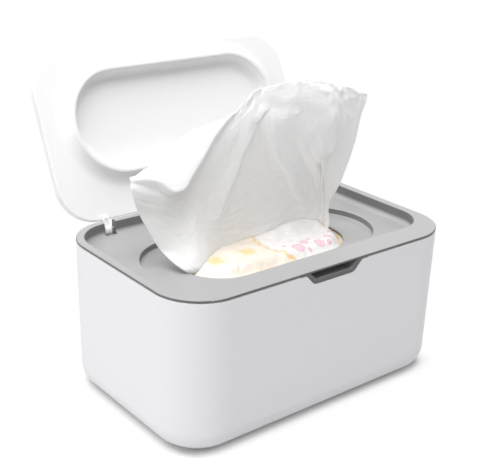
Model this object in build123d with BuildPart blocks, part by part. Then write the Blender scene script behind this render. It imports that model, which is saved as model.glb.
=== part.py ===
from build123d import *
import os
from math import sqrt

# A table-top dispenser for wet wipes: a white box, a grey cover that drops into its
# mouth, and a white flip lid that seals round the hole in the cover.
# Millimetres. X runs along the long side, the front is towards -Y, +Z is up.
# The origin is the middle of the pad's underside. The lid is drawn fully open.

# Box
box_length = 190.0
box_depth = 122.0
box_height = 87.0
box_corner_radius = 27.0
box_draft = 0.65
box_wall = 2.0
box_floor = 2.6
box_foot_radius = 12.5

# Rubber pad under the box
pad_length = 132.0
pad_depth = 66.0
pad_corner_radius = 14.0
pad_thickness = 1.4
pad_proud = 0.8
pad_play = 0.1
pad_edge_radius = 0.4

# Cover
rim_height = 1.5
rim_side = 5.1
rim_back = 4.0
front_ledge = 16.1
rim_edge_radius = 0.6
seam_bevel = 0.5
recess_depth = 7.6
recess_front_radius = 20.5
recess_back_radius = 22.0
recess_floor_radius = 3.0
cover_sheet = 2.0
skirt_depth = 11.0
skirt_wall = 1.7
skirt_gap = 0.3

# Cuts run past the faces that they open, and level faces are picked within a tolerance
cut_overrun = 1.0
level_tolerance = 0.01

# Well and hole in the cover
well_length = 151.0
well_width = 67.4
well_depth = 3.4
well_draft = 8.0
well_shift = -0.8
hole_length = 109.4
hole_width = 49.8
well_floor_radius = 0.5
well_edge_radius = 0.3
hole_edge_radius = 0.7

# Finger pull at the front of the cover
pull_top_width = 39.6
pull_bottom_width = 27.6
pull_drop = 6.0
pull_gap = 0.3
pull_wing = 4.0
pull_corner_radius = 4.0
pull_mouth_top = 34.4
pull_mouth_bottom = 24.5
pull_mouth_height = 4.5
pull_mouth_depth = 8.0
pull_mouth_radius = 0.9
pull_lip = 2.1
pull_lip_radius = 0.5
pull_back = 1.6

# Hinge
hinge_inset = 23.8
hinge_pin_radius = 1.0
hinge_pin_hold = 2.7
hinge_pin_play = 0.05
hinge_rise = 2.8
eye_wall = 1.8
arm_width = 3.8
arm_reach = 7.8
arm_floor_gap = 0.4
arm_nose_radius = 1.8
arm_dimple_width = 1.7
arm_dimple_length = 4.0
arm_dimple_depth = 0.7
arm_notch_outer_gap = 0.5
arm_notch_inner_gap = 3.0
arm_notch_reach = 3.0
arm_notch_drop = 1.0
lug_side = 4.9
lug_drop = 9.0
lug_gap = 0.3
lug_corner_radius = 2.0
lid_open_angle = 114.5

# Lid
lid_side_gap = 0.7
lid_back_gap = 3.4
lid_front_gap = 3.6
lid_corner_radius = 22.0
lid_proud = 1.5
lid_height = 6.6
lid_crown_radius = 3.0
lid_edge_radius = 0.6
lid_wall = 1.8
panel_thickness = 1.8

# Ring on the inside of the lid, and the dish within it
ring_side_gap = 2.25
ring_crest = 3.1
ring_shift = -0.2
ring_step = 2.0
ring_flank_radius = 9.0
seal_gap = 0.3
seal_height = 1.5
seal_round = 1.2
dish_depth = 8.0
dish_draft = 12.0
dish_round = 5.0
dish_skin = 1.6

# Pack of wipes
pack_side_gap = 7.0
pack_corner_radius = 24.0
pack_edge_radius = 15.0
pack_film_thickness = 0.8
pack_gap = 0.3
bulge_inset = 4.7
bulge_height = 5.0
bulge_draft = 40.0
bulge_round = 3.0
slit_length = 64.0
slit_width = 10.0
slit_shift = 6.0
stack_side_gap = 7.2
stack_corner_radius = 12.0
stack_edge_radius = 10.0
stack_gap = 0.3

# Wipe pulled up through the hole. At its root the folds are shares of its reach and sway
# off the slit. Above the film each level has its height and its folds as x and y.
wipe_thickness = 1.4
wipe_root_gap = 3.0
wipe_root_folds = ((-1, -2), (-0.6, -2), (-0.1, 2), (0.45, 2), (0.85, 2), (1, 0))
wipe_levels = {
    5.0: ((-59, 2), (-34, 3), (-6, 10), (27, 8), (46, 5), (50, 2)),
    16.0: ((-64, 13), (-36, 4), (-7, 9), (28, 6), (47, 3), (54, 1)),
    32.0: ((-68, 22), (-37, 9), (-6, 10), (21, 1), (43, -2), (57, -4)),
    51.0: ((-70, 26), (-34, 14), (-7, 8), (11, -2), (36, -8), (63, -6)),
    69.0: ((-68, 30), (-31, 29), (-9, 9), (7, -2), (38, -11), (66, -8)),
    92.0: ((-68, 32), (-29, 33), (-1, 6), (12, -2), (37, -11), (70, -9)),
}
# Free edge of the wipe seen from the front, as x and height above the film
wipe_free_edge = ((-72, 40), (-65, 42), (-47, 51), (-31, 62), (-13, 69), (-9, 78), (0, 87),
                  (13, 90), (37, 88), (72, 77))

# Places that follow from the sizes above
seam_z = pad_proud + box_height
rim_z = seam_z + rim_height
recess_z = rim_z - recess_depth
well_z = recess_z - well_depth
cover_under_z = well_z - cover_sheet
skirt_low_z = seam_z - skirt_depth
recess_length = box_length - 2 * rim_side
recess_back_y = box_depth / 2 - rim_back
recess_front_y = -box_depth / 2 + front_ledge
skirt_length = box_length - 2 * (box_wall + skirt_gap)
skirt_reach = box_depth - 2 * (box_wall + skirt_gap)
skirt_radius = box_corner_radius - box_wall - skirt_gap
pivot_y = recess_back_y + rim_back / 2
pivot_z = recess_z + hinge_rise
lid_length = recess_length - 2 * lid_side_gap
lid_back_y = recess_back_y - lid_back_gap
lid_front_y = recess_front_y + lid_front_gap
lid_top_z = rim_z + lid_proud
lid_low_z = lid_top_z - lid_height
lid_seam_z = lid_low_z + panel_thickness
hinge_spread = lid_length / 2 - hinge_inset
notch_width = arm_width + arm_notch_outer_gap + arm_notch_inner_gap
notch_spread = hinge_spread + (arm_notch_outer_gap - arm_notch_inner_gap) / 2
hinge_pin_length = notch_width + 2 * hinge_pin_hold
lug_width = notch_width + 2 * lug_side
ring_length = well_length - 2 * ring_side_gap
ring_width = well_width - 2 * ring_side_gap
ring_y = well_shift + ring_shift
crest_z = well_z + seal_gap
seal_z = crest_z + seal_height
dish_z = crest_z + dish_depth
mouth_low = pull_lip - pull_drop
pack_length = box_length - 2 * (box_wall + pack_side_gap)
pack_depth = box_depth - 2 * (box_wall + pack_side_gap)
pack_low_z = pad_proud + box_floor + pack_gap
pack_top_z = cover_under_z - pack_gap
film_top_z = pack_top_z + bulge_height
stack_length = pack_length - 2 * (pack_film_thickness + stack_side_gap)
stack_depth = pack_depth - 2 * (pack_film_thickness + stack_side_gap)
stack_low_z = pack_low_z + pack_film_thickness
stack_top_z = pack_top_z - pack_film_thickness - stack_gap
front_face = Plane(origin=(0, -box_depth / 2, seam_z), x_dir=(1, 0, 0), z_dir=(0, -1, 0))
back_face = Plane(origin=(0, box_depth / 2, seam_z), x_dir=(-1, 0, 0), z_dir=(0, 1, 0))
hinge_axis = Axis((0, pivot_y, pivot_z), (1, 0, 0))
hinge_arms = {"left": -hinge_spread, "right": hinge_spread}
hinge_notches = {"left": -notch_spread, "right": notch_spread}


def outline(length, front_y, back_y, front_radius, back_radius):
    """A rectangle whose front and back corners are rounded by their own radii."""
    half = length / 2
    with BuildLine() as path:
        FilletPolyline(
            (half, front_y), (half, back_y), (-half, back_y), (-half, front_y),
            radius=(front_radius, back_radius, back_radius, front_radius), close=True,
        )
    return path.edges()


def pull_outline(gap):
    """The finger pull from the front: a strip at the seam and a tapered tongue below it."""
    top = pull_top_width / 2 + gap
    foot = pull_bottom_width / 2 + gap
    wing = top + pull_wing
    low = -pull_drop - gap
    with BuildLine() as path:
        FilletPolyline(
            (-wing, rim_height), (-wing, 0), (-top, 0), (-foot, low),
            (foot, low), (top, 0), (wing, 0), (wing, rim_height),
            radius=(0, 0, pull_corner_radius, pull_corner_radius,
                    pull_corner_radius, pull_corner_radius, 0, 0), close=True,
        )
    return path.edges()


def lug_outline(sketch, gap):
    """Both hinge lugs from behind, hanging from the seam with rounded lower corners."""
    with Locations(*[(x, 0) for x in hinge_notches.values()]):
        Rectangle(lug_width + 2 * gap, lug_drop + gap, align=(Align.CENTER, Align.MAX))
    fillet(sketch.vertices().group_by(Axis.Y)[0], lug_corner_radius)


os.makedirs("parts", exist_ok=True)

# Box: one moulded tub with drafted walls and a generous radius round its foot
with BuildPart() as box_inside:
    with BuildSketch(Plane.XY.offset(seam_z)):
        RectangleRounded(
            box_length - 2 * box_wall, box_depth - 2 * box_wall, box_corner_radius - box_wall
        )
    extrude(amount=-(box_height - box_floor), taper=box_draft)
    fillet(box_inside.edges().group_by(Axis.Z)[0], box_foot_radius - box_wall)

with BuildPart() as body_shell:
    with BuildSketch(Plane.XY.offset(seam_z)):
        RectangleRounded(box_length, box_depth, box_corner_radius)
    extrude(amount=-box_height, taper=box_draft)
    fillet(body_shell.edges().group_by(Axis.Z)[0], box_foot_radius)
    chamfer(body_shell.edges().group_by(Axis.Z)[-1], seam_bevel)
    add(box_inside.part, mode=Mode.SUBTRACT)
    with BuildSketch(front_face.offset(cut_overrun)):
        make_face(pull_outline(pull_gap))
    extrude(amount=-(box_wall + 2 * cut_overrun), mode=Mode.SUBTRACT)
    with BuildSketch(back_face.offset(cut_overrun)) as lug_seats:
        lug_outline(lug_seats, lug_gap)
    extrude(amount=-(box_wall + 2 * cut_overrun), mode=Mode.SUBTRACT)
    with BuildSketch(Plane.XY.offset(pad_proud)):
        RectangleRounded(
            pad_length + 2 * pad_play, pad_depth + 2 * pad_play, pad_corner_radius + pad_play
        )
    extrude(amount=pad_thickness - pad_proud, mode=Mode.SUBTRACT)
body_shell.part.label = "body_shell"
export_step(body_shell.part, "parts/body_shell.step")

# Pad: a sheet of soft rubber stuck in a shallow seat under the box, so it doesn't slide
with BuildPart() as base_pad:
    with BuildSketch():
        RectangleRounded(pad_length, pad_depth, pad_corner_radius)
    extrude(amount=pad_thickness)
    fillet(base_pad.edges().group_by(Axis.Z)[0], pad_edge_radius)
base_pad.part.label = "base_pad"
export_step(base_pad.part, "parts/base_pad.step")

# Cover: a flange on the box's edge, a skirt inside it, a recess for the lid and a well
with BuildPart() as recess_space:
    with BuildSketch(Plane.XY.offset(recess_z)):
        make_face(outline(
            recess_length, recess_front_y, recess_back_y, recess_front_radius,
            recess_back_radius,
        ))
    extrude(amount=recess_depth)
    fillet(recess_space.edges().group_by(Axis.Z)[0], recess_floor_radius)

with BuildPart() as well_space:
    with BuildSketch(Plane.XY.offset(recess_z)):
        with Locations((0, well_shift)):
            SlotOverall(well_length, well_width)
    extrude(amount=-well_depth, taper=well_draft)
    fillet(well_space.edges().group_by(Axis.Z)[0], well_floor_radius)

with BuildPart() as cover_underside:
    with BuildSketch(Plane.XY.offset(skirt_low_z)):
        RectangleRounded(
            skirt_length - 2 * skirt_wall, skirt_reach - 2 * skirt_wall,
            skirt_radius - skirt_wall,
        )
    extrude(amount=rim_z - cover_sheet - skirt_low_z)
    with BuildSketch(Plane.XY.offset(recess_z - cover_sheet)):
        make_face(outline(
            recess_length + 2 * cover_sheet, recess_front_y - cover_sheet,
            recess_back_y + cover_sheet, recess_front_radius + cover_sheet,
            recess_back_radius + cover_sheet,
        ))
    extrude(amount=recess_depth, mode=Mode.SUBTRACT)
    with BuildSketch(Plane.XY.offset(recess_z)):
        with Locations((0, well_shift)):
            SlotOverall(well_length + 2 * cover_sheet, well_width + 2 * cover_sheet)
    extrude(amount=skirt_low_z - recess_z, mode=Mode.SUBTRACT)

with BuildPart() as hinge_lugs:
    with BuildSketch(back_face) as lugs:
        lug_outline(lugs, 0)
    extrude(amount=-(box_depth - skirt_reach) / 2 - skirt_wall)
    with BuildSketch(Plane.XY.offset(seam_z)):
        RectangleRounded(box_length, box_depth, box_corner_radius)
    extrude(amount=-lug_drop, mode=Mode.INTERSECT)

with BuildPart() as top_cover:
    with BuildSketch(Plane.XY.offset(seam_z)):
        RectangleRounded(box_length, box_depth, box_corner_radius)
    extrude(amount=rim_height)
    chamfer(top_cover.edges().group_by(Axis.Z)[0], seam_bevel)
    with BuildSketch(Plane.XY.offset(seam_z)):
        RectangleRounded(skirt_length, skirt_reach, skirt_radius)
    extrude(amount=-skirt_depth)
    with BuildSketch(Plane.XY.offset(recess_z)):
        with Locations((0, well_shift)):
            SlotOverall(well_length + 2 * cover_sheet, well_width + 2 * cover_sheet)
    extrude(amount=cover_under_z - recess_z)
    add(recess_space.part, mode=Mode.SUBTRACT)
    fillet(top_cover.edges().group_by(Axis.Z)[-1], rim_edge_radius)
    add(well_space.part, mode=Mode.SUBTRACT)
    well_edge = top_cover.faces().filter_by(Plane.XY).filter_by_position(
        Axis.Z, recess_z - level_tolerance, recess_z + level_tolerance)[0].inner_wires()[0]
    fillet(well_edge.edges(), well_edge_radius)
    with BuildSketch(Plane.XY.offset(well_z)):
        with Locations((0, well_shift)):
            SlotOverall(hole_length, hole_width)
    extrude(amount=-cover_sheet, mode=Mode.SUBTRACT)
    hole_edges = top_cover.faces().filter_by(Plane.XY).filter_by_position(
        Axis.Z, well_z - level_tolerance, well_z + level_tolerance)[0].inner_wires()[0].edges()
    hole_edges += top_cover.faces().sort_by(Axis.Z)[0].inner_wires()[0].edges()
    fillet(hole_edges, hole_edge_radius)
    add(cover_underside.part, mode=Mode.SUBTRACT)
    with BuildSketch(front_face):
        make_face(pull_outline(0))
    extrude(amount=-(pull_mouth_depth + pull_back))
    with BuildSketch(front_face):
        with BuildLine():
            FilletPolyline(
                (-pull_mouth_top / 2, mouth_low + pull_mouth_height),
                (-pull_mouth_bottom / 2, mouth_low), (pull_mouth_bottom / 2, mouth_low),
                (pull_mouth_top / 2, mouth_low + pull_mouth_height),
                radius=(0, pull_mouth_radius, pull_mouth_radius, 0), close=True,
            )
        make_face()
    extrude(amount=-pull_mouth_depth, mode=Mode.SUBTRACT)
    lip_edges = top_cover.edges().filter_by(Axis.X).filter_by_position(
        Axis.Z, seam_z + mouth_low - level_tolerance, seam_z + mouth_low + level_tolerance)
    fillet(lip_edges.group_by(Axis.Y)[0], pull_lip_radius)
    add(hinge_lugs.part)
    for x in hinge_notches.values():
        with BuildSketch(Plane.YZ.offset(x)):
            with Locations((pivot_y - arm_notch_reach, recess_z - arm_notch_drop)):
                Rectangle(2 * rim_back, 2 * recess_depth, align=Align.MIN)
            with Locations((recess_back_y - recess_floor_radius, recess_z)):
                Rectangle(2 * rim_back, recess_depth, align=Align.MIN)
        extrude(amount=notch_width / 2, both=True, mode=Mode.SUBTRACT)
        with BuildSketch(Plane.YZ.offset(x)):
            with Locations((pivot_y, pivot_z)):
                Circle(hinge_pin_radius)
        extrude(amount=hinge_pin_length / 2, both=True, mode=Mode.SUBTRACT)
top_cover.part.label = "top_cover"
export_step(top_cover.part, "parts/top_cover.step")

# Hinge pins: steel pins held at both ends by the cover's lugs
for side, x in hinge_notches.items():
    with BuildPart() as hinge_pin:
        with BuildSketch(Plane.YZ.offset(x)):
            with Locations((pivot_y, pivot_z)):
                Circle(hinge_pin_radius)
        extrude(amount=hinge_pin_length / 2, both=True)
    hinge_pin.part.label = f"hinge_pin_{side}"
    export_step(hinge_pin.part, f"parts/{hinge_pin.part.label}.step")

# Lid, outer shell: drawn closed, then turned open about the pins
with BuildPart() as closed_top_shell:
    with BuildSketch(Plane.XY.offset(lid_seam_z)):
        make_face(outline(
            lid_length, lid_front_y, lid_back_y, lid_corner_radius, lid_corner_radius
        ))
    extrude(amount=lid_top_z - lid_seam_z)
    fillet(closed_top_shell.edges().group_by(Axis.Z)[-1], lid_crown_radius)
    with BuildSketch(Plane.XY.offset(lid_seam_z)):
        make_face(outline(
            lid_length - 2 * lid_wall, lid_front_y + lid_wall, lid_back_y - lid_wall,
            lid_corner_radius - lid_wall, lid_corner_radius - lid_wall,
        ))
    extrude(amount=lid_top_z - lid_wall - lid_seam_z, mode=Mode.SUBTRACT)

with BuildPart() as lid_top_shell:
    add(closed_top_shell.part.rotate(hinge_axis, -lid_open_angle))
lid_top_shell.part.label = "lid_top_shell"
export_step(lid_top_shell.part, "parts/lid_top_shell.step")

# Lid, inner panel: a plate with a raised ring, a dish within the ring and two hinge arms
with BuildPart() as dish_space:
    with BuildSketch(Plane.XY.offset(seal_z)):
        with Locations((0, ring_y)):
            SlotOverall(ring_length - 2 * ring_crest, ring_width - 2 * ring_crest)
    extrude(amount=dish_z - seal_z, taper=dish_draft)
    fillet(dish_space.edges().group_by(Axis.Z)[-1], dish_round)

with BuildPart() as dish_tub:
    with BuildSketch(Plane.XY.offset(seal_z)):
        with Locations((0, ring_y)):
            SlotOverall(
                ring_length - 2 * (ring_crest - dish_skin),
                ring_width - 2 * (ring_crest - dish_skin),
            )
    extrude(amount=dish_z + dish_skin - seal_z, taper=dish_draft)
    fillet(dish_tub.edges().group_by(Axis.Z)[-1], dish_round + dish_skin)

ring_run = (ring_length - ring_width) / 2
ring_side_y = ring_y - ring_width / 2
flank_drop = lid_low_z - crest_z - ring_step
flank_reach = sqrt(flank_drop * (2 * ring_flank_radius - flank_drop))
arm_low = recess_z + arm_floor_gap
nose_y = pivot_y - arm_reach
dimple_y = nose_y + arm_nose_radius + arm_dimple_length / 2


def flank_profile():
    """The hollow flank outside the ring at the front: an arc that runs out on the plate."""
    foot_y = ring_side_y - flank_reach
    with BuildLine() as path:
        edge = Line((ring_side_y, lid_low_z - flank_drop), (ring_side_y, lid_seam_z))
        side = Line(edge @ 1, (foot_y, lid_seam_z))
        end = Line(side @ 1, (foot_y, lid_low_z))
        TangentArc(end @ 1, edge @ 0, tangent=(1, 0))
    return path.edges()


with BuildPart() as closed_inner_panel:
    with BuildSketch(Plane.XY.offset(lid_seam_z)):
        make_face(outline(
            lid_length, lid_front_y, lid_back_y, lid_corner_radius, lid_corner_radius
        ))
    extrude(amount=-panel_thickness)
    fillet(closed_inner_panel.edges().group_by(Axis.Z)[0], lid_edge_radius)
    with BuildSketch(Plane.YZ):
        make_face(flank_profile())
        mirror(about=Plane.YZ.offset(ring_y))
    extrude(amount=ring_run, both=True)
    for end in (-1, 1):
        with BuildSketch(Plane.YZ.offset(end * ring_run)):
            make_face(flank_profile())
        revolve(axis=Axis((end * ring_run, ring_y, 0), (0, 0, end)), revolution_arc=180)
    with BuildSketch(Plane.XY.offset(seal_z)):
        with Locations((0, ring_y)):
            SlotOverall(ring_length, ring_width)
    extrude(amount=lid_seam_z - seal_z)
    add(dish_tub.part)
    add(dish_space.part, mode=Mode.SUBTRACT)
    for x in hinge_arms.values():
        with BuildSketch(Plane.YZ.offset(x)):
            with BuildLine():
                FilletPolyline(
                    (pivot_y, arm_low), (pivot_y, pivot_z + hinge_pin_radius),
                    (lid_back_y, lid_seam_z), (nose_y, lid_seam_z), (nose_y, arm_low),
                    radius=(0, 0, 0, 0, arm_nose_radius), close=True,
                )
            make_face()
            with Locations((pivot_y, pivot_z)):
                Circle(hinge_pin_radius + hinge_pin_play + eye_wall)
                Circle(hinge_pin_radius + hinge_pin_play, mode=Mode.SUBTRACT)
        extrude(amount=arm_width / 2, both=True)
        with BuildSketch(Plane.XY.offset(arm_low)):
            with Locations((x, dimple_y)):
                SlotOverall(arm_dimple_length, arm_dimple_width, rotation=90)
        extrude(amount=arm_dimple_depth, mode=Mode.SUBTRACT)

with BuildPart() as lid_inner_panel:
    add(closed_inner_panel.part.rotate(hinge_axis, -lid_open_angle))
lid_inner_panel.part.label = "lid_inner_panel"
export_step(lid_inner_panel.part, "parts/lid_inner_panel.step")

# Seal: a soft band along the ring's crest that closes on the well's floor
with BuildPart() as closed_seal:
    with BuildSketch(Plane.XY.offset(seal_z)):
        with Locations((0, ring_y)):
            SlotOverall(ring_length, ring_width)
            SlotOverall(
                ring_length - 2 * ring_crest, ring_width - 2 * ring_crest, mode=Mode.SUBTRACT
            )
    extrude(amount=-seal_height)
    fillet(closed_seal.edges().group_by(Axis.Z)[0], seal_round)

with BuildPart() as lid_seal_ring:
    add(closed_seal.part.rotate(hinge_axis, -lid_open_angle))
lid_seal_ring.part.label = "lid_seal_ring"
export_step(lid_seal_ring.part, "parts/lid_seal_ring.step")

# Pack: a film pouch that bulges up through the hole, with the opening slit on top
with BuildPart() as pack_inside:
    with BuildSketch(Plane.XY.offset(pack_low_z + pack_film_thickness)):
        RectangleRounded(
            pack_length - 2 * pack_film_thickness, pack_depth - 2 * pack_film_thickness,
            pack_corner_radius - pack_film_thickness,
        )
    extrude(amount=pack_top_z - pack_low_z - 2 * pack_film_thickness)
    fillet(
        pack_inside.edges().group_by(Axis.Z)[0] + pack_inside.edges().group_by(Axis.Z)[-1],
        pack_edge_radius - pack_film_thickness,
    )
    with BuildSketch(Plane.XY.offset(pack_top_z - pack_film_thickness)):
        with Locations((0, well_shift)):
            SlotOverall(
                hole_length - 2 * (bulge_inset + pack_film_thickness),
                hole_width - 2 * (bulge_inset + pack_film_thickness),
            )
    extrude(amount=bulge_height, taper=bulge_draft)

with BuildPart() as pack_film:
    with BuildSketch(Plane.XY.offset(pack_low_z)):
        RectangleRounded(pack_length, pack_depth, pack_corner_radius)
    extrude(amount=pack_top_z - pack_low_z)
    fillet(
        pack_film.edges().group_by(Axis.Z)[0] + pack_film.edges().group_by(Axis.Z)[-1],
        pack_edge_radius,
    )
    with BuildSketch(Plane.XY.offset(pack_top_z)):
        with Locations((0, well_shift)):
            SlotOverall(hole_length - 2 * bulge_inset, hole_width - 2 * bulge_inset)
    extrude(amount=bulge_height, taper=bulge_draft)
    fillet(pack_film.edges().group_by(Axis.Z)[-1], bulge_round)
    add(pack_inside.part, mode=Mode.SUBTRACT)
    with BuildSketch(Plane.XY.offset(film_top_z)):
        with Locations((0, slit_shift)):
            SlotOverall(slit_length, slit_width)
    extrude(amount=-2 * pack_film_thickness, mode=Mode.SUBTRACT)
pack_film.part.label = "pack_film"
export_step(pack_film.part, "parts/pack_film.step")

# Stack of folded wipes that fills the pouch
with BuildPart() as wipe_stack:
    with BuildSketch(Plane.XY.offset(stack_low_z)):
        RectangleRounded(stack_length, stack_depth, stack_corner_radius)
    extrude(amount=stack_top_z - stack_low_z)
    fillet(
        wipe_stack.edges().group_by(Axis.Z)[0] + wipe_stack.edges().group_by(Axis.Z)[-1],
        stack_edge_radius,
    )
wipe_stack.part.label = "wipe_stack"
export_step(wipe_stack.part, "parts/wipe_stack.step")


def wipe_row(folds, height):
    """One level of the wipe: a thin strip that turns at each fold."""
    points = [Vector(*fold) for fold in folds]
    front, back = [], []
    for before, point, after in zip(points[:1] + points, points, points[1:] + points[-1:]):
        across = (after - before).normalized().rotate(Axis.Z, 90) * wipe_thickness / 2
        front.append(point - across)
        back.append(point + across)
    with BuildSketch(Plane.XY.offset(height)) as row:
        with BuildLine():
            Polyline(*front, *reversed(back), close=True)
        make_face()
    return row.sketch


# Pulled wipe: gathered in the slit, spreading into a few deep folds as it rises, with a
# free edge that climbs from left to right
root_reach = slit_length / 2 - wipe_root_gap
root_folds = [
    (share * root_reach, slit_shift + sway) for share, sway in wipe_root_folds
]
with BuildPart() as pulled_wipe:
    loft(
        [wipe_row(root_folds, height) for height in (stack_top_z, film_top_z)]
        + [wipe_row(folds, film_top_z + rise) for rise, folds in wipe_levels.items()],
        ruled=True,
    )
    edge_points = [(x, film_top_z + rise) for x, rise in wipe_free_edge]
    foot_points = [(edge_points[-1][0], stack_top_z), (edge_points[0][0], stack_top_z)]
    with BuildSketch(Plane.XZ):
        with BuildLine():
            Polyline(*edge_points, *foot_points, close=True)
        make_face()
    extrude(amount=box_depth / 2, both=True, mode=Mode.INTERSECT)
pulled_wipe.part.label = "pulled_wipe"
export_step(pulled_wipe.part, "parts/pulled_wipe.step")
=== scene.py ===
import math

import bpy
from mathutils import Matrix, Vector, noise


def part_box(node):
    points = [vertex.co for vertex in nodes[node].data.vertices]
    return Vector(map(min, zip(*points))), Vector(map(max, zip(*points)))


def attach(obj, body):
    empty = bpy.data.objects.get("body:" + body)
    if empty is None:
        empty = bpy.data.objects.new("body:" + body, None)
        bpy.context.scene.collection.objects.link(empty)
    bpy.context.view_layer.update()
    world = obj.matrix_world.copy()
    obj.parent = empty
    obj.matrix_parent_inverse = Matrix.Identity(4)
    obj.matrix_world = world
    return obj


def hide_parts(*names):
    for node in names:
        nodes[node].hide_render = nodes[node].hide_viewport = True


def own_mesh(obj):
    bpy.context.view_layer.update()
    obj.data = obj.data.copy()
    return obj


# A table-top wipes dispenser: a white box, a grey cover set in its mouth, a white lid that
# stands open, and a wipe pulled up out of the film pack inside.
# Metres, in the frame of the CAD model: +X along the long side, -Y to the front, +Z up.
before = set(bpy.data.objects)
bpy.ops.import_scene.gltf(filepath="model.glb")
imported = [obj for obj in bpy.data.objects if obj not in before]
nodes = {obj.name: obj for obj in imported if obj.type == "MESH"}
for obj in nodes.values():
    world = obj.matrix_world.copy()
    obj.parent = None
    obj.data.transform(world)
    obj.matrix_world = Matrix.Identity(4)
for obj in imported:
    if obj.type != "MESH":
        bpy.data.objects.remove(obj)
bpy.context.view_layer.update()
bpy.ops.object.select_all(action="DESELECT")


# Camera: a long lens half a metre away, off the box's front left corner and a little above it
CAMERA_AZIMUTH = math.radians(-39.462)
CAMERA_ELEVATION = math.radians(21.831)
CAMERA_ROLL = math.radians(1.834)
CAMERA_DISTANCE = 0.5526
CAMERA_TARGET = Vector((-0.00621, 0.0021, 0.08596))
CAMERA_LENS_MM = 70.66
CAMERA_CLIP_START = 0.01

toward_camera = Vector((
    math.sin(CAMERA_AZIMUTH) * math.cos(CAMERA_ELEVATION),
    -math.cos(CAMERA_AZIMUTH) * math.cos(CAMERA_ELEVATION),
    math.sin(CAMERA_ELEVATION),
))
level_right = Vector((math.cos(CAMERA_AZIMUTH), math.sin(CAMERA_AZIMUTH), 0.0))
level_up = toward_camera.cross(level_right)
camera_right = math.cos(CAMERA_ROLL) * level_right + math.sin(CAMERA_ROLL) * level_up
camera_up = math.cos(CAMERA_ROLL) * level_up - math.sin(CAMERA_ROLL) * level_right
camera_turn = Matrix((camera_right, camera_up, toward_camera)).transposed().to_4x4()

bpy.ops.object.camera_add()
camera = bpy.context.object
camera.name = "camera"
camera.data.lens = CAMERA_LENS_MM
camera.data.clip_start = CAMERA_CLIP_START
camera.matrix_world = (
    Matrix.Translation(CAMERA_TARGET + toward_camera * CAMERA_DISTANCE) @ camera_turn)
bpy.context.scene.camera = camera


# Light: a broad soft box overhead, a weaker one at the left, and a room that is white to look at
# and throws a weak, even light on the object
LAMP_AIM = Vector((0.0, 0.0, 0.08))
ROOM_LIGHT = 0.32
WHITE = (1.0, 1.0, 1.0, 1.0)


def soft_box(name, place, size, watts):
    """A square area lamp at a place, turned to the middle of the box."""
    bpy.ops.object.light_add(type="AREA", location=place)
    lamp = bpy.context.object
    lamp.name = name
    lamp.data.shape = "SQUARE"
    lamp.data.size = size
    lamp.data.energy = watts
    aim = LAMP_AIM - Vector(place)
    lamp.rotation_euler = aim.to_track_quat("-Z", "Y").to_euler()


def add_node(tree, kind, sockets=(), **settings):
    """Adds a shader node, with its settings, and fills its sockets with values or links."""
    made = tree.nodes.new(kind)
    for name, value in settings.items():
        setattr(made, name, value)
    for key, value in dict(sockets).items():
        if isinstance(value, bpy.types.NodeSocket):
            tree.links.new(value, made.inputs[key])
        else:
            made.inputs[key].default_value = value
    return made


def seen_directly(tree):
    """One for rays that show what lies behind the object, and zero for rays that light it."""
    rays = add_node(tree, "ShaderNodeLightPath")
    seen = rays.outputs["Is Camera Ray"]
    for kind in ("Is Glossy Ray", "Is Transmission Ray"):
        either = add_node(tree, "ShaderNodeMath", {0: seen, 1: rays.outputs[kind]},
                          operation="MAXIMUM")
        seen = either.outputs[0]
    return seen


soft_box("top_soft_box", place=(-0.15, -0.02, 1.3), size=1.3, watts=24.3)
soft_box("left_soft_box", place=(-1.5, -0.15, 0.7), size=1.0, watts=6.3)

world = bpy.data.worlds.new("pale_room")
bpy.context.scene.world = world
world.use_nodes = True
room = world.node_tree
room.nodes.clear()
room_level = add_node(room, "ShaderNodeMapRange", {
    "Value": seen_directly(room), "To Min": ROOM_LIGHT, "To Max": 1.0})
backdrop = add_node(room, "ShaderNodeBackground", {
    "Color": WHITE, "Strength": room_level.outputs["Result"]})
add_node(room, "ShaderNodeOutputWorld", {"Surface": backdrop.outputs["Background"]})

bpy.context.scene.view_settings.view_transform = "Standard"


# Floor: a plain white table top that keeps the box's shadow and fades into the white room.
# It is darker for the light that it throws back up than it is to look at.
FLOOR_SIZE = 3.0
FLOOR_SEEN, FLOOR_BOUNCE = 0.95, 0.62
# The shadow is whole over the rectangle under the box and fades out over this distance round it
STAND_HALF = (0.084, 0.049, 0.0)
FADE_WIDTH = 0.017


def bare_material(name):
    """An empty node material; returns it and its tree."""
    material = bpy.data.materials.new(name)
    material.use_nodes = True
    material.node_tree.nodes.clear()
    return material, material.node_tree


def outline_reach(tree, half):
    """How far a point lies, seen from above, outside a rectangle round the middle."""
    place = add_node(tree, "ShaderNodeTexCoord")
    flat = add_node(tree, "ShaderNodeVectorMath", {
        0: place.outputs["Object"], 1: (1.0, 1.0, 0.0)}, operation="MULTIPLY")
    folded = add_node(tree, "ShaderNodeVectorMath", {0: flat.outputs["Vector"]},
                      operation="ABSOLUTE")
    past_side = add_node(tree, "ShaderNodeVectorMath", {0: folded.outputs["Vector"], 1: half},
                         operation="SUBTRACT")
    beyond = add_node(tree, "ShaderNodeVectorMath", {
        0: past_side.outputs["Vector"], 1: (0.0, 0.0, 0.0)}, operation="MAXIMUM")
    reach = add_node(tree, "ShaderNodeVectorMath", {0: beyond.outputs["Vector"]},
                     operation="LENGTH")
    return reach.outputs["Value"]


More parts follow.
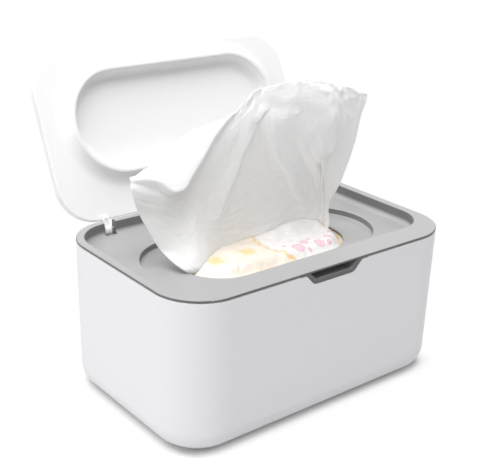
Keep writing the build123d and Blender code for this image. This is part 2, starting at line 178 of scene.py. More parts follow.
bpy.ops.mesh.primitive_plane_add(size=FLOOR_SIZE)
floor = bpy.context.object
floor.name = "floor"
floor_white, floor_tree = bare_material("floor_white")
floor_seen = seen_directly(floor_tree)
floor_tone = add_node(floor_tree, "ShaderNodeMapRange", {
    "Value": floor_seen, "To Min": FLOOR_BOUNCE, "To Max": FLOOR_SEEN})
table = add_node(floor_tree, "ShaderNodeBsdfDiffuse", {"Color": floor_tone.outputs["Result"]})
glow = add_node(floor_tree, "ShaderNodeEmission", {"Color": WHITE})
fade = add_node(floor_tree, "ShaderNodeMapRange", {
    "Value": outline_reach(floor_tree, STAND_HALF), "From Min": 0.0, "From Max": FADE_WIDTH},
    interpolation_type="SMOOTHSTEP")
faded = add_node(floor_tree, "ShaderNodeMath", {0: fade.outputs["Result"], 1: floor_seen},
                 operation="MULTIPLY")
floor_surface = add_node(floor_tree, "ShaderNodeMixShader", {
    0: faded.outputs[0], 1: table.outputs["BSDF"], 2: glow.outputs["Emission"]})
add_node(floor_tree, "ShaderNodeOutputMaterial", {"Surface": floor_surface.outputs["Shader"]})
floor.data.materials.append(floor_white)


# Box: one white moulding with rounded corners, its outside finely sparked so that it looks matt.
# It stands on its pad, and the cover's skirt drops into its mouth.
BOX_WHITE, BOX_WHITE_DEEPER = (0.86, 0.855, 0.88), (0.835, 0.83, 0.855)
SPARKED_GRAIN, SPARKED_DEPTH = 2600.0, 0.00002
PATCH_SCALE = 65.0
# Most of a noise lies between these two values
NOISE_LOW, NOISE_HIGH = 0.3, 0.7
GLOSS_SPREAD = 0.05


def new_group(name, inputs, outputs):
    """A node group with named float inputs and outputs; returns it with its two end nodes."""
    group = bpy.data.node_groups.new(name, "ShaderNodeTree")
    for socket in inputs:
        group.interface.new_socket(socket, in_out="INPUT", socket_type="NodeSocketFloat")
    for socket in outputs:
        group.interface.new_socket(socket, in_out="OUTPUT", socket_type="NodeSocketFloat")
    return group, group.nodes.new("NodeGroupInput"), group.nodes.new("NodeGroupOutput")


def new_material(name, sockets=()):
    """A material with one Principled shader; returns it, its tree and the shader."""
    material, tree = bare_material(name)
    shader = add_node(tree, "ShaderNodeBsdfPrincipled", sockets)
    add_node(tree, "ShaderNodeOutputMaterial", {"Surface": shader.outputs["BSDF"]})
    return material, tree, shader


def put_on(node, material):
    """Gives a CAD node its finish."""
    nodes[node].data.materials.clear()
    nodes[node].data.materials.append(material)


moulded_skin, skin_in, skin_out = new_group(
    "moulded_skin", ("Grain Scale", "Patch Scale"), ("Grain", "Patches"))
skin_place = add_node(moulded_skin, "ShaderNodeTexCoord")
grain = add_node(moulded_skin, "ShaderNodeTexNoise", {
    "Vector": skin_place.outputs["Object"], "Scale": skin_in.outputs["Grain Scale"],
    "Detail": 3.0, "Roughness": 0.6})
patches = add_node(moulded_skin, "ShaderNodeTexNoise", {
    "Vector": skin_place.outputs["Object"], "Scale": skin_in.outputs["Patch Scale"],
    "Detail": 4.0, "Roughness": 0.55})
moulded_skin.links.new(grain.outputs["Fac"], skin_out.inputs["Grain"])
moulded_skin.links.new(patches.outputs["Fac"], skin_out.inputs["Patches"])


def moulded(name, colour, deeper, roughness, grain_scale, grain_depth, sockets=()):
    """A moulded surface: two close tones in soft patches, uneven gloss and a fine grain.

    Returns the material, its tree, the shader and the tone.
    """
    material, tree, shader = new_material(name, sockets)
    skin = add_node(tree, "ShaderNodeGroup", node_tree=moulded_skin)
    skin.inputs["Grain Scale"].default_value = grain_scale
    skin.inputs["Patch Scale"].default_value = PATCH_SCALE
    tone = add_node(tree, "ShaderNodeMix", {
        "Factor": skin.outputs["Patches"], "A": (*deeper, 1.0), "B": (*colour, 1.0)},
        data_type="RGBA")
    gloss = add_node(tree, "ShaderNodeMapRange", {
        "Value": skin.outputs["Patches"], "From Min": NOISE_LOW, "From Max": NOISE_HIGH,
        "To Min": roughness - GLOSS_SPREAD, "To Max": roughness + GLOSS_SPREAD})
    bump = add_node(tree, "ShaderNodeBump", {
        "Height": skin.outputs["Grain"], "Strength": 1.0, "Distance": grain_depth})
    tree.links.new(tone.outputs["Result"], shader.inputs["Base Color"])
    tree.links.new(gloss.outputs["Result"], shader.inputs["Roughness"])
    tree.links.new(bump.outputs["Normal"], shader.inputs["Normal"])
    return material, tree, shader, tone.outputs["Result"]


box_white = moulded("white_box_skin", BOX_WHITE, BOX_WHITE_DEEPER, roughness=0.42,
                    grain_scale=SPARKED_GRAIN, grain_depth=SPARKED_DEPTH)[0]
put_on("body_shell", box_white)


# Pad: a sheet of dark rubber under the box, so that it doesn't slide on the table.
# It is stuck in a shallow seat in the box's underside.
PAD_GREY, PAD_GREY_DEEPER = (0.085, 0.085, 0.09), (0.06, 0.06, 0.065)
pad_rubber = moulded("pad_rubber", PAD_GREY, PAD_GREY_DEEPER, roughness=0.8,
                     grain_scale=1500.0, grain_depth=0.00008,
                     sockets={"Specular IOR Level": 0.3})[0]
put_on("base_pad", pad_rubber)


# Cover: one grey moulding with a rim, the lid's recess, a well with the hole, and a finger pull.
# Its flange lies on the box's edge, and it lifts off when a new pack goes in.
# Its upright faces and the flange's edge are painted a darker grey than its level faces, as
# painted shade where less light falls on them.
COVER_GREY, COVER_GREY_DEEPER = (0.35, 0.35, 0.35), (0.335, 0.335, 0.338)
COVER_SIDE_PAINTED_SHADE, COVER_FLANGE_PAINTED_SHADE = (0.17, 0.17, 0.173, 1.0), (0.12, 0.12, 0.122, 1.0)
# The upward part of the normal, from an upright face in full painted shade to one that counts as
# level and has none
UPRIGHT, LEVEL = 0.1, 0.5
# The middle of the cover's round corner, its radius, and how far inside that radius the
# flange's painted shade on its edge starts and is whole
CORNER_MIDDLE, CORNER_RADIUS = (0.068, 0.034, 0.0), 0.027
FLANGE_SHADE_START, FLANGE_SHADE_WHOLE = 0.00045, 0.00025

cover_grey, cover_tree, cover_shader, cover_tone = moulded(
    "grey_cover_skin", COVER_GREY, COVER_GREY_DEEPER, roughness=0.36,
    grain_scale=SPARKED_GRAIN, grain_depth=SPARKED_DEPTH)
# Painted shade: upright faces get a darker grey, chosen by the upward part of their normal
facing = add_node(cover_tree, "ShaderNodeNewGeometry")
facing_parts = add_node(cover_tree, "ShaderNodeSeparateXYZ", {0: facing.outputs["Normal"]})
level_face_out_of_painted_shade = add_node(cover_tree, "ShaderNodeMapRange", {
    "Value": facing_parts.outputs["Z"], "From Min": UPRIGHT, "From Max": LEVEL})
with_painted_side_shade = add_node(cover_tree, "ShaderNodeMix", {
    "Factor": level_face_out_of_painted_shade.outputs["Result"], "A": COVER_SIDE_PAINTED_SHADE, "B": cover_tone},
    data_type="RGBA")
# Painted shade: the flange's outer edge gets a still darker grey
painted_flange_shade = add_node(cover_tree, "ShaderNodeMapRange", {
    "Value": outline_reach(cover_tree, CORNER_MIDDLE),
    "From Min": CORNER_RADIUS - FLANGE_SHADE_START, "From Max": CORNER_RADIUS - FLANGE_SHADE_WHOLE})
with_painted_flange_shade = add_node(cover_tree, "ShaderNodeMix", {
    "Factor": painted_flange_shade.outputs["Result"], "A": with_painted_side_shade.outputs["Result"],
    "B": COVER_FLANGE_PAINTED_SHADE}, data_type="RGBA")
cover_tree.links.new(with_painted_flange_shade.outputs["Result"], cover_shader.inputs["Base Color"])
put_on("top_cover", cover_grey)


# Hinge pins: two lengths of drawn steel wire that the lid's arms turn on.
# The lugs at the back of the cover hold each of them at both ends.
WIRE_GRAIN, WIRE_DEPTH = (60.0, 4200.0, 4200.0), 0.00001
WIRE_SMOOTH, WIRE_ROUGH = 0.22, 0.46

pin_steel, pin_tree, pin_shader = new_material("pin_steel", {
    "Base Color": (0.56, 0.56, 0.57, 1.0), "Metallic": 1.0})
pin_place = add_node(pin_tree, "ShaderNodeTexCoord")
drawn = add_node(pin_tree, "ShaderNodeMapping", {
    "Vector": pin_place.outputs["Object"], "Scale": WIRE_GRAIN})
wire_lines = add_node(pin_tree, "ShaderNodeTexNoise", {
    "Vector": drawn.outputs["Vector"], "Scale": 1.0})
wire_gloss = add_node(pin_tree, "ShaderNodeMapRange", {
    "Value": wire_lines.outputs["Fac"], "To Min": WIRE_SMOOTH, "To Max": WIRE_ROUGH})
wire_bump = add_node(pin_tree, "ShaderNodeBump", {
    "Height": wire_lines.outputs["Fac"], "Distance": WIRE_DEPTH})
pin_tree.links.new(wire_gloss.outputs["Result"], pin_shader.inputs["Roughness"])
pin_tree.links.new(wire_bump.outputs["Normal"], pin_shader.inputs["Normal"])
put_on("hinge_pin_left", pin_steel)
put_on("hinge_pin_right", pin_steel)


# Lid: an outer shell and an inner panel welded together, both in a smooth satin white.
# The panel carries the ring, the dish inside it and the two hinge arms.
LID_WHITE, LID_WHITE_DEEPER = (0.87, 0.87, 0.875), (0.856, 0.856, 0.862)
lid_white = moulded("white_lid_skin", LID_WHITE, LID_WHITE_DEEPER, roughness=0.36,
                    grain_scale=1800.0, grain_depth=0.000012)[0]
put_on("lid_top_shell", lid_white)
put_on("lid_inner_panel", lid_white)


# Seal: a band of soft white silicone that keeps the wipes damp while the lid is shut.
# It lies in a seat along the ring's crest and closes on the floor of the cover's well.
SEAL_WHITE, SEAL_WHITE_DEEPER = (0.86, 0.86, 0.855), (0.83, 0.83, 0.825)
seal_silicone = moulded("white_silicone", SEAL_WHITE, SEAL_WHITE_DEEPER, roughness=0.5,
                        grain_scale=900.0, grain_depth=0.00003,
                        sockets={"Sheen Weight": 0.15})[0]
put_on("lid_seal_ring", seal_silicone)


# Film pack: a soft pouch of printed film, full of folded wipes, that lies on the box's floor.
# It bulges up through the cover's hole, and its film is puckered round the slit for the wipe.
pack_low, pack_high = (Vector(v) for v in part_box("pack_film"))
PACK_ROUND = 0.015
FILM_CUTS, FILM_GATHER = 110, 1.35
# The cover's hole has round ends: half its straight run, half its width, and its middle in y
HOLE_HALF_RUN, HOLE_HALF_WIDTH, HOLE_Y = 0.0298, 0.0249, -0.0008
# The film's top under the cover, its rise in the hole, and how far inside the hole's edge that
# rise is whole
SHOULDER_Z = 0.076
BULGE_RISE, BULGE_EDGE = 0.0049, 0.008
# Unevenness of the film outside the hole: noise scale and height
SLACK_SCALE, SLACK_HEIGHT = 60, 0.0012
# Puckers: noise scale along x and along y, seed, and height
PUCKERS = ((70, 95, 2.3, 0.0011), (190, 260, 5.9, 0.0006))
# Pinched folds, which run aslant: noise scale along x, its slant, scale along y, seed, depth
PINCH_ALONG, PINCH_SLANT, PINCH_ACROSS, PINCH_SEED, PINCH_DEPTH = 120, 60, 150, 8.4, 0.0009
# The raised lip of the slit: height, half width, y at x = 0 and its slope, start and run in x
LIP_RISE, LIP_HALF_WIDTH = 0.0035, 0.006
LIP_Y, LIP_SLOPE = 0.004, 0.08
LIP_START, LIP_RUN = -0.005, 0.03

bpy.ops.mesh.primitive_cube_add(size=2.0)
film_pouch = bpy.context.object
film_pouch.name = "film_pouch"
bpy.ops.object.mode_set(mode="EDIT")
bpy.ops.mesh.subdivide(number_cuts=FILM_CUTS)
bpy.ops.object.mode_set(mode="OBJECT")


def ramp(value, start, run):
    """Rises evenly from 0 at a start to 1 after a run, and stays within them."""
    return max(0.0, min(1.0, (value - start) / run))


def eased(share):
    """A share from 0 to 1 that starts and ends softly."""
    return share * share * (3 - 2 * share)


def gathered(share):
    """Moves the mesh lines of a side towards its middle, where the pouch shows in the hole."""
    return math.copysign(abs(share) ** FILM_GATHER, share)


def slot_distance(x, y):
    """Distance outside the hole's edge, in metres; negative inside."""
    run = max(abs(x) - HOLE_HALF_RUN, 0.0)
    return math.hypot(run, y - HOLE_Y) - HOLE_HALF_WIDTH


def pucker_height(x, y):
    """Height of the film's puckers, pinched folds and raised lip inside the hole."""
    height = 0.0
    for along, across, seed, rise in PUCKERS:
        height += noise.noise(Vector((x * along, y * across, seed))) * rise
    pinch = Vector((x * PINCH_ALONG + y * PINCH_SLANT, y * PINCH_ACROSS, PINCH_SEED))
    height -= abs(noise.noise(pinch)) * PINCH_DEPTH
    across_lip = (y - LIP_Y - LIP_SLOPE * x) / LIP_HALF_WIDTH
    return height + LIP_RISE * math.exp(-across_lip ** 2) * ramp(x, LIP_START, LIP_RUN)


pack_half = (pack_high - pack_low) / 2
pack_middle = (pack_high + pack_low) / 2
shoulder_half = Vector((pack_half.x, pack_half.y, (SHOULDER_Z - pack_low.z) / 2))
shoulder_middle = Vector((pack_middle.x, pack_middle.y, (SHOULDER_Z + pack_low.z) / 2))
for vertex in film_pouch.data.vertices:
    on_top = round(vertex.co.z, 3) == 1.0
    share = Vector(gathered(c) for c in vertex.co)
    place = Vector(share[k] * shoulder_half[k] for k in range(3))
    # The edges are rounded by drawing each point in to a set distance from a smaller block
    core = Vector(max(-shoulder_half[k] + PACK_ROUND, min(shoulder_half[k] - PACK_ROUND, place[k]))
                  for k in range(3))
    outward = place - core
    if outward.length > 0:
        place = core + outward.normalized() * min(outward.length, PACK_ROUND)
    edge = slot_distance(place.x, place.y)
    if on_top and edge < 0.0:
        swell = eased(min(1.0, -edge / BULGE_EDGE))
        place.z += swell * (BULGE_RISE + pucker_height(place.x, place.y))
    elif edge >= 0.0:
        place += place.normalized() * noise.noise(place * SLACK_SCALE) * SLACK_HEIGHT
    vertex.co = place + shoulder_middle
bpy.ops.object.shade_smooth()

# The print: soft yellow squares on cream, and a white scalloped label with an orange edge and
# pink bubbles
PRINT_CREAM, PRINT_YELLOW = (0.80, 0.725, 0.63, 1.0), (0.80, 0.62, 0.33, 1.0)
PRINT_WHITE, PRINT_ORANGE = (0.80, 0.775, 0.76, 1.0), (0.79, 0.55, 0.27, 1.0)
PRINT_PINK, PRINT_ROSE = (0.80, 0.55, 0.62, 1.0), (0.60, 0.20, 0.36, 1.0)
# The squares: the middle of one of them, their pitch, half their side, and their soft edge
SQUARE_CENTRE, SQUARE_PITCH = (-0.0365, -0.0065), 0.0215
SQUARE_HALF, SQUARE_BLUR = 0.0041, 0.0014
LABEL_CENTRE, LABEL_RADIUS = (0.0235, -0.0045), 0.0268
LABEL_SCALLOPS, SCALLOP_DEPTH = 26.0, 0.0007
LABEL_EDGE, LABEL_EDGE_BLUR, LABEL_FILL_BLUR = 0.0019, 0.0004, 0.0007
# Bubbles on the label: x and y of the centre, and radius
BUBBLES = ((0.0135, -0.0170, 0.0036), (0.0215, -0.0128, 0.0024), (0.0290, -0.0178, 0.0031),
           (0.0385, -0.0142, 0.0020), (0.0195, -0.0205, 0.0012), (0.0350, -0.0195, 0.0013),
           (0.0262, -0.0108, 0.0011), (0.0445, -0.0095, 0.0014), (0.0075, -0.0115, 0.0012))
BUBBLE_LINE, BUBBLE_BLUR = 0.0003, 0.00018
FILM_CREASE_SCALE, FILM_CREASE_DEPTH = 150.0, 0.0011
FILM_SMOOTH, FILM_ROUGH = 0.29, 0.46

film_skin, film_tree, film_shader = new_material("printed_film_skin", {"Coat Weight": 0.25})
film_place = add_node(film_tree, "ShaderNodeTexCoord")


def worked_out(operation, *values):
    """The result of a Math node in the film's material."""
    made = add_node(film_tree, "ShaderNodeMath", enumerate(values), operation=operation)
    return made.outputs[0]


def painted(base, mask, colour):
    """Lays one printed colour over what is printed so far, where a mask shows it."""
    laid = add_node(film_tree, "ShaderNodeMix", {"Factor": mask, "A": base, "B": colour},
                    data_type="RGBA")
    return laid.outputs["Result"]


def below(value, limit, softness):
    """One where a value is under its limit, with a soft edge."""
    edge = add_node(film_tree, "ShaderNodeMapRange", {
        "Value": value, "From Min": limit - softness, "From Max": limit + softness,
        "To Min": 1.0, "To Max": 0.0})
    return edge.outputs["Result"]


def from_centre(x, y):
    """X, Y and distance in the print, measured from a centre."""
    moved = add_node(film_tree, "ShaderNodeVectorMath", {
        0: film_place.outputs["Object"], 1: (x, y, 0.0)}, operation="SUBTRACT")
    parts = add_node(film_tree, "ShaderNodeSeparateXYZ", {0: moved.outputs["Vector"]})
    flat = add_node(film_tree, "ShaderNodeCombineXYZ", {
        "X": parts.outputs["X"], "Y": parts.outputs["Y"]})
    reach = add_node(film_tree, "ShaderNodeVectorMath", {0: flat.outputs["Vector"]},
                     operation="LENGTH")
    return parts.outputs["X"], parts.outputs["Y"], reach.outputs["Value"]


square_x, square_y, _ = from_centre(*(middle + SQUARE_PITCH / 2 for middle in SQUARE_CENTRE))
from_square = []
for offset in (square_x, square_y):
    wrapped = worked_out("WRAP", offset, SQUARE_PITCH, 0.0)
    centred = worked_out("SUBTRACT", wrapped, SQUARE_PITCH / 2)
    from_square.append(worked_out("ABSOLUTE", centred))
square = worked_out("MAXIMUM", *from_square)
printed = painted(PRINT_CREAM, below(square, SQUARE_HALF, SQUARE_BLUR), PRINT_YELLOW)

label_x, label_y, label_reach = from_centre(*LABEL_CENTRE)
turns = worked_out("MULTIPLY", worked_out("ARCTAN2", label_y, label_x), LABEL_SCALLOPS)
scalloped = worked_out("MULTIPLY_ADD", worked_out("SINE", turns), SCALLOP_DEPTH, label_reach)
printed = painted(printed, below(scalloped, LABEL_RADIUS, LABEL_EDGE_BLUR), PRINT_ORANGE)
printed = painted(printed, below(scalloped, LABEL_RADIUS - LABEL_EDGE, LABEL_FILL_BLUR),
                  PRINT_WHITE)
for x, y, radius in BUBBLES:
    bubble_reach = from_centre(x, y)[2]
    printed = painted(printed, below(bubble_reach, radius, BUBBLE_BLUR), PRINT_ROSE)
    printed = painted(printed, below(bubble_reach, radius - BUBBLE_LINE, BUBBLE_BLUR), PRINT_PINK)

creased = add_node(film_tree, "ShaderNodeTexNoise", {
    "Vector": film_place.outputs["Object"], "Scale": FILM_CREASE_SCALE, "Detail": 5.0,
    "Roughness": 0.55, "Distortion": 0.8})
film_bump = add_node(film_tree, "ShaderNodeBump", {
    "Height": creased.outputs["Fac"], "Distance": FILM_CREASE_DEPTH})
film_gloss = add_node(film_tree, "ShaderNodeMapRange", {
    "Value": creased.outputs["Fac"], "To Min": FILM_SMOOTH, "To Max": FILM_ROUGH})
film_tree.links.new(printed, film_shader.inputs["Base Color"])
film_tree.links.new(film_gloss.outputs["Result"], film_shader.inputs["Roughness"])
film_tree.links.new(film_bump.outputs["Normal"], film_shader.inputs["Normal"])
film_pouch.data.materials.append(film_skin)
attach(film_pouch, "container")
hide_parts("pack_film", "wipe_stack")


# Pulled wipe: one damp nonwoven sheet, gathered where it leaves the slit and spread above it.
# Its left corner is turned over towards the front, and its right side lies behind a soft roll.
# Its lines stand side by side from left to right, and each is a row of points in millimetres
# from the root up to the free edge.
MM_PER_M = 1000.0
WIPE_LINES = (
    ((-44, -2, 74), (-57, -6.5, 80), (-63.5, 8, 89.5), (-71, 14, 107), (-75, 14, 117),
     (-76, 15, 124), (-73, 20, 126)),
    ((-39, -4, 74), (-47, -7, 80), (-48, 4, 89), (-50, 12, 101), (-53, 13, 110), (-54, 13, 118),
     (-51, 22, 135)),
    ((-30, 1, 74), (-32, 2, 81), (-34, 7, 95), (-35, 11, 107), (-35, 12, 118), (-34, 12, 130),
     (-36, 20, 146)),
    ((-19, 5, 75), (-19, 8, 81), (-21, 9, 94), (-20, 10, 109), (-18, 10, 123), (-17, 10, 143),
     (-16, 14, 152)),
    ((-5, 8, 75), (-5, 10, 81), (-6, 10, 96), (-6, 9, 112), (-7, 8, 131), (-9, 8, 147),
     (-9, 10, 159)),
    ((8, 8, 75), (7, 8, 81), (9, 9, 95), (8, 8, 112), (3, 6, 133), (-1, 5, 151), (2, 9, 167)),
    ((22, 9, 75), (24, 10, 82), (29, 8, 98), (24, 5, 113), (15, 3, 127), (10, 1, 149),
     (18, 5, 170)),
    ((33, 9, 75), (38, 8, 85), (43, 7, 96), (38, 4, 113), (28, 0, 133), (27, -2, 154),
     (31, 1, 170)),
    ((40, 6, 75), (46, 4, 83), (48, 5, 96), (45, 1, 115), (40, -4, 132), (42, -7, 150),
     (44, -1, 168)),
    ((43, 3, 75), (49, 2, 81), (52, 4, 94), (50, 0, 112), (50, -4, 130), (54, -6, 147),
     (54, -5, 165)),
    ((44, 0, 75), (51, -2, 80), (54, 2, 92), (56, -3, 105), (62, -6, 126), (65, -8, 145),
     (68, -9, 160)),
)
# Laps, where the cloth on a path's left side lies proud and falls off sharply across it: the
# path (line, step), how far the proud side reaches, the softness of the drop, and mm
WIPE_LAPS = (
    (((0.0, 5.55), (0.4, 5.4), (0.7, 5.25), (1.05, 4.9), (1.4, 4.75), (1.75, 4.95), (2.3, 5.2),
      (2.8, 5.5), (3.5, 6.0)), 1.1, 0.06, 4.5),
    (((8.2, 3.6), (8.7, 3.8), (8.8, 4.2), (8.7, 4.6), (8.5, 5.0), (8.4, 5.4), (8.2, 5.7),
      (7.6, 5.8)), 0.9, 0.10, 2.4),
    (((2.8, 1.7), (3.0, 2.4), (3.2, 3.0), (3.9, 4.1), (4.4, 4.4), (5.0, 4.9)), 0.8, 0.16, 1.9),
    (((5.1, 4.8), (5.7, 4.3), (6.0, 3.6), (6.0, 2.5), (6.6, 1.6), (7.4, 1.0)), 0.5, 0.15, 1.4),
)
# A lap is this much of its height at the ends of its path, and whole this far from them
LAP_END_SHARE, LAP_END_RUN = 0.25, 0.6
# Creases pressed into the sheet: start and end (line, step), half width in steps, depth in mm
WIPE_CREASES = (
    ((6.8, 4.2), (7.1, 3.2), 0.14, -1.0), ((7.1, 3.2), (8.0, 1.7), 0.14, -0.9),
    ((7.2, 4.2), (7.6, 3.5), 0.14, -0.9), ((7.6, 3.5), (9.2, 2.0), 0.14, -0.8),
    ((6.9, 5.1), (7.3, 4.6), 0.16, -1.2), ((7.3, 4.6), (7.9, 3.8), 0.16, -1.2),
    ((5.2, 5.5), (6.9, 5.15), 0.14, -0.7), ((8.0, 3.6), (8.1, 2.5), 0.11, -1.1),
    ((2.9, 1.7), (4.4, 1.4), 0.09, -0.5), ((4.2, 1.4), (5.9, 1.45), 0.09, -0.6),
    ((7.5, 5.6), (8.4, 5.75), 0.10, 0.8), ((8.8, 5.5), (9.4, 5.7), 0.10, 0.7),
    ((4.2, 3.4), (4.3, 2.2), 0.20, -0.4), ((1.6, 4.4), (1.9, 2.4), 0.25, -0.4),
)
# The part of a half wave over a crease's length, so that its ends are shallow but not flat
CREASE_WAVE_START, CREASE_WAVE_RUN = 0.14, 0.72
# Faces across the sheet and up it
WIPE_ACROSS, WIPE_UP = 220, 150
# The sheet's forms grow to their full depth over this many steps from the root
ROOT_STEPS = 1.4
# Small unevenness of the cloth: noise scale across the lines and up the steps, and seed
RIPPLE, CRINKLE, CREPE = (1.3, 0.7, 3.1), (4.5, 3.6, 7.7), (1.4, 9.0, 1.9)
BROAD_HEM, FINE_HEM = (3.4, 0.0, 11.3), (11.0, 0.0, 4.3)
# Its heights in mm: crinkle and crepe are higher where the cloth is crumpled and near the slit
RIPPLE_MM, BROAD_HEM_MM, FINE_HEM_MM = 0.9, 1.4, 0.5
CRINKLE_MM, CRINKLE_MORE_MM = 0.25, 1.2
CREPE_MM, CREPE_MORE_MM = 0.12, 0.5
# The free edge is wavy over this many steps below it
HEM_STEPS = 0.35
# Where the cloth is crumpled, as line and step: the top right corner from its start on, and
# the top edge round a line
CORNER_LINE, CORNER_STEP, CORNER_RUN = 7.6, 4.6, 0.8
TOP_LINE, TOP_LINE_REACH, TOP_STEP, TOP_STEP_RUN = 4.2, 1.6, 5.3, 0.7
# The crepe round the slit: middle (line, step) and reach
CREPE_LINE, CREPE_LINE_REACH, CREPE_STEP, CREPE_STEP_REACH = 4.5, 2.2, 1.9, 1.1


def spline_weights(t):
    """Weights of four neighbours in a smooth line that runs through its points."""
    return (0.5 * (-t ** 3 + 2 * t * t - t), 0.5 * (3 * t ** 3 - 5 * t * t + 2),
            0.5 * (-3 * t ** 3 + 4 * t * t + t), 0.5 * (t ** 3 - t * t))


def wipe_point(line, step):
    """The sheet's point at a share of its lines and of the steps up each line, in metres."""
    across, up = min(int(line), len(WIPE_LINES) - 2), min(int(step), len(WIPE_LINES[0]) - 2)
    point = Vector()
    for i, weight_i in enumerate(spline_weights(line - across)):
        column = WIPE_LINES[max(0, min(across + i - 1, len(WIPE_LINES) - 1))]
        for j, weight_j in enumerate(spline_weights(step - up)):
            knot = column[max(0, min(up + j - 1, len(column) - 1))]
            point += weight_i * weight_j * Vector(knot)
    return point / MM_PER_M


def beside_run(spot, start, end):
    """How far along a run a spot lies (0 to 1), its distance and the side it is on."""
    run, offset = Vector(end) - Vector(start), spot - Vector(start)
    along = max(0.0, min(1.0, offset.dot(run) / run.length_squared))
    return along, (offset - along * run).length, math.copysign(1.0, run.cross(offset))


def lap_depth(spot):
    """How far the laps push the sheet forward at a spot, in millimetres."""
    depth = 0.0
    for path, reach, softness, height in WIPE_LAPS:
        nearest, side = math.inf, 1.0
        for start, end in zip(path, path[1:]):
            _, away, turned = beside_run(spot, start, end)
            if away < nearest:
                nearest, side = away, turned
        ends = min((spot - Vector(path[0])).length, (spot - Vector(path[-1])).length)
        proud = eased(max(0.0, min(1.0, 0.5 + side * nearest / (2 * softness))))
        whole = min(1.0, LAP_END_SHARE + (1 - LAP_END_SHARE) * ends / LAP_END_RUN)
        depth += height * proud * whole * max(0.0, 1 - nearest / reach)
    return depth


def crease_depth(spot):
    """How far the pressed creases push the sheet forward at a spot, in millimetres."""
    depth = 0.0
    for start, end, half_width, height in WIPE_CREASES:
        along, away, _ = beside_run(spot, start, end)
        depth += (height * math.sin(math.pi * (CREASE_WAVE_START + CREASE_WAVE_RUN * along))
                  * math.exp(-(away / half_width) ** 2))
    return depth


def uneven(spot, kind):
    """The noise of one kind of unevenness at a spot."""
    across, up, seed = kind
    return noise.noise(Vector((spot.x * across, spot.y * up, seed)))


def cloth_depth(spot):
    """How far ripples, crinkles and crepe push the sheet forward at a spot, in millimetres."""
    line, step = spot
    corner = ramp(line, CORNER_LINE, CORNER_RUN) * ramp(step, CORNER_STEP, CORNER_RUN)
    top = max(0.0, 1 - abs(line - TOP_LINE) / TOP_LINE_REACH) * ramp(step, TOP_STEP, TOP_STEP_RUN)
    by_slit = math.exp(-((line - CREPE_LINE) / CREPE_LINE_REACH) ** 2
                       - ((step - CREPE_STEP) / CREPE_STEP_REACH) ** 2)
    return (uneven(spot, RIPPLE) * RIPPLE_MM
            + uneven(spot, CRINKLE) * (CRINKLE_MM + CRINKLE_MORE_MM * max(corner, top))
            + uneven(spot, CREPE) * (CREPE_MM + CREPE_MORE_MM * by_slit))


last_line, last_step = len(WIPE_LINES) - 1, len(WIPE_LINES[0]) - 1
row_length = WIPE_ACROSS + 1
smooth_points = [
    wipe_point(last_line * i / WIPE_ACROSS, last_step * j / WIPE_UP)
    for j in range(WIPE_UP + 1) for i in range(row_length)
]
sheet_points = []
for j in range(WIPE_UP + 1):
    row, row_below, row_above = (
        max(0, min(WIPE_UP, near)) * row_length for near in (j, j - 1, j + 1))
    for i in range(row_length):
        across = (smooth_points[row + min(i + 1, WIPE_ACROSS)]
                  - smooth_points[row + max(i - 1, 0)])
        up = smooth_points[row_above + i] - smooth_points[row_below + i]
        forward = across.cross(up).normalized()
        spot = Vector((last_line * i / WIPE_ACROSS, last_step * j / WIPE_UP))
        push = lap_depth(spot) + crease_depth(spot) + cloth_depth(spot)
        point = smooth_points[row + i] + forward * min(1.0, spot.y / ROOT_STEPS) * push / MM_PER_M
        hem = uneven(spot, BROAD_HEM) * BROAD_HEM_MM + uneven(spot, FINE_HEM) * FINE_HEM_MM
        point.z += hem * ramp(spot.y, last_step - HEM_STEPS, HEM_STEPS) / MM_PER_M
        sheet_points.append(point)
sheet_faces = [
    (j * row_length + i, j * row_length + i + 1, (j + 1) * row_length + i + 1,
     (j + 1) * row_length + i)
    for j in range(WIPE_UP) for i in range(WIPE_ACROSS)
]
sheet_mesh = bpy.data.meshes.new("wipe_sheet")
sheet_mesh.from_pydata(sheet_points, [], sheet_faces)
sheet_uv = sheet_mesh.uv_layers.new(name="weave")
for loop in sheet_mesh.loops:
    j, i = divmod(loop.vertex_index, row_length)
    sheet_uv.data[loop.index].uv = (i / WIPE_ACROSS, j / WIPE_UP)
wipe_sheet = bpy.data.objects.new("wipe_sheet", sheet_mesh)
bpy.context.collection.objects.link(wipe_sheet)
bpy.ops.object.select_all(action="DESELECT")
wipe_sheet.select_set(True)
bpy.context.view_layer.objects.active = wipe_sheet

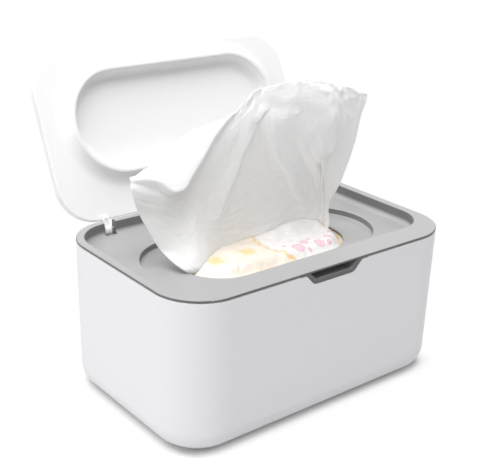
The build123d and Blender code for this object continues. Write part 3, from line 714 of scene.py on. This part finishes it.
CLOTH_THICKNESS = 0.0005
cloth_wall = wipe_sheet.modifiers.new("cloth_wall", "SOLIDIFY")
cloth_wall.thickness = CLOTH_THICKNESS
cloth_wall.offset = 0.0
bpy.ops.object.modifier_apply(modifier=cloth_wall.name)
bpy.ops.object.shade_smooth()

# The cloth lets light through, and is marked by fine fibres and crosswise crepe, each with its
# noise scale over the sheet's own UV and its detail
FIBRES, CREPE_LINES = ((420.0, 240.0, 1.0), 4.0), ((26.0, 190.0, 1.0), 2.0)
CREPE_SHARE, CLOTH_RELIEF = 1.3, 0.00022
CLOTH_WHITE, CLOTH_WHITE_DEEPER = (0.92, 0.92, 0.915, 1.0), (0.86, 0.86, 0.855, 1.0)

damp_cloth, cloth_tree, cloth_shader = new_material("damp_nonwoven", {
    "Roughness": 0.72, "Specular IOR Level": 0.35, "Sheen Weight": 0.12,
    "Subsurface Weight": 0.9, "Subsurface Radius": (1.0, 1.0, 1.0), "Subsurface Scale": 0.002})
cloth_place = add_node(cloth_tree, "ShaderNodeTexCoord")
marks = []
for scale, detail in (FIBRES, CREPE_LINES):
    stretched = add_node(cloth_tree, "ShaderNodeMapping", {
        "Vector": cloth_place.outputs["UV"], "Scale": scale})
    mark = add_node(cloth_tree, "ShaderNodeTexNoise", {
        "Vector": stretched.outputs["Vector"], "Scale": 1.0, "Detail": detail,
        "Distortion": 0.4})
    marks.append(mark.outputs["Fac"])
fibre_mark, crepe_mark = marks
relief = add_node(cloth_tree, "ShaderNodeMath", {0: crepe_mark, 1: CREPE_SHARE, 2: fibre_mark},
                  operation="MULTIPLY_ADD")
cloth_bump = add_node(cloth_tree, "ShaderNodeBump", {
    "Height": relief.outputs[0], "Distance": CLOTH_RELIEF})
cloth_tone = add_node(cloth_tree, "ShaderNodeMix", {
    "Factor": fibre_mark, "A": CLOTH_WHITE_DEEPER, "B": CLOTH_WHITE}, data_type="RGBA")
cloth_tree.links.new(cloth_tone.outputs["Result"], cloth_shader.inputs["Base Color"])
cloth_tree.links.new(cloth_bump.outputs["Normal"], cloth_shader.inputs["Normal"])
sheet_mesh.materials.append(damp_cloth)
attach(wipe_sheet, "container")
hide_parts("pulled_wipe")
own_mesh(wipe_sheet)
